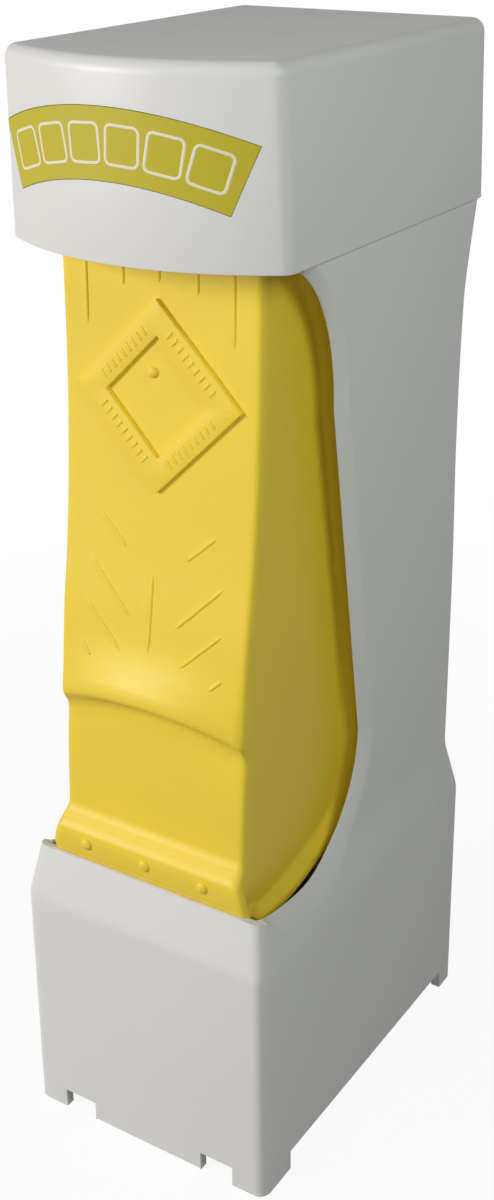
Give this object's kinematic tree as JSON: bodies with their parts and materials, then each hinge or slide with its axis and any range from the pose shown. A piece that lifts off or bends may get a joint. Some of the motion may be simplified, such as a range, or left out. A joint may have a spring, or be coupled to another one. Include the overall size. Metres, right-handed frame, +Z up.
{
  "type": "wire butter slicer",
  "caption": "Upright kitchen tool that holds a stick of butter; squeezing its lever drives a wire through the foot of the stick and drops an even pat.",
  "frame": {"origin": "middle of the base on the surface it stands on", "axes": "+Z up, -Y towards the user and the lever, +X to the right seen from the front"},
  "size_m": [0.0558, 0.0818, 0.21],
  "materials": {
    "white_plastic": "glossy white moulded plastic",
    "yellow_plastic": "satin yellow moulded plastic with a fine grain",
    "badge_print": "yellow-green printed plate with a clear coat",
    "inner_plastic": "natural grey-white moulded plastic",
    "steel": "bright stainless steel"
  },
  "bodies": {
    "base": {"housing": "white_plastic", "butter_chute": "inner_plastic", "chute_screw_1": "steel", "chute_screw_2": "steel", "chute_screw_3": "steel", "chute_screw_4": "steel", "lever_pin": "steel", "return_spring": "steel", "guide_rail_left": "inner_plastic", "guide_rail_right": "inner_plastic", "rail_screw_1": "steel", "rail_screw_2": "steel", "rail_screw_3": "steel", "rail_screw_4": "steel", "pat_stop": "inner_plastic", "stop_screw_left": "steel", "stop_screw_right": "steel", "lid_hinge_pin": "steel"},
    "lever": {"lever": "yellow_plastic"},
    "cutter": {"cutter_frame": "inner_plastic", "shutter_plate": "steel", "shutter_screw_left": "steel", "shutter_screw_right": "steel", "cutting_wire": "steel", "wire_washer_left": "steel", "wire_washer_right": "steel", "wire_screw_left": "steel", "wire_screw_right": "steel"},
    "lid": {"lid": "white_plastic", "lid_badge": "badge_print"}
  },
  "joints": [
    {"name": "lever_squeeze", "type": "hinge", "parent": "base", "child": "lever", "pos_m": [0, -0.022, 0.183], "axis": [1, 0, 0], "range_deg": [0, 14.2], "stiffness_Nm_per_rad": 1.5, "springref_deg": -8.02, "deforming": ["return_spring"]},
    {"name": "cutter_slide", "type": "slide", "parent": "base", "child": "cutter", "axis": [0, 1, 0], "range_m": [0, 0.0338]},
    {"name": "lid_flip", "type": "hinge", "parent": "base", "child": "lid", "pos_m": [0, 0.0386, 0.179], "axis": [-1, 0, 0], "range_deg": [0, 100]}
  ],
  "couplings": [
    {"joint": "cutter_slide", "follows": "lever_squeeze", "m_per_rad": 0.13618}
  ]
}
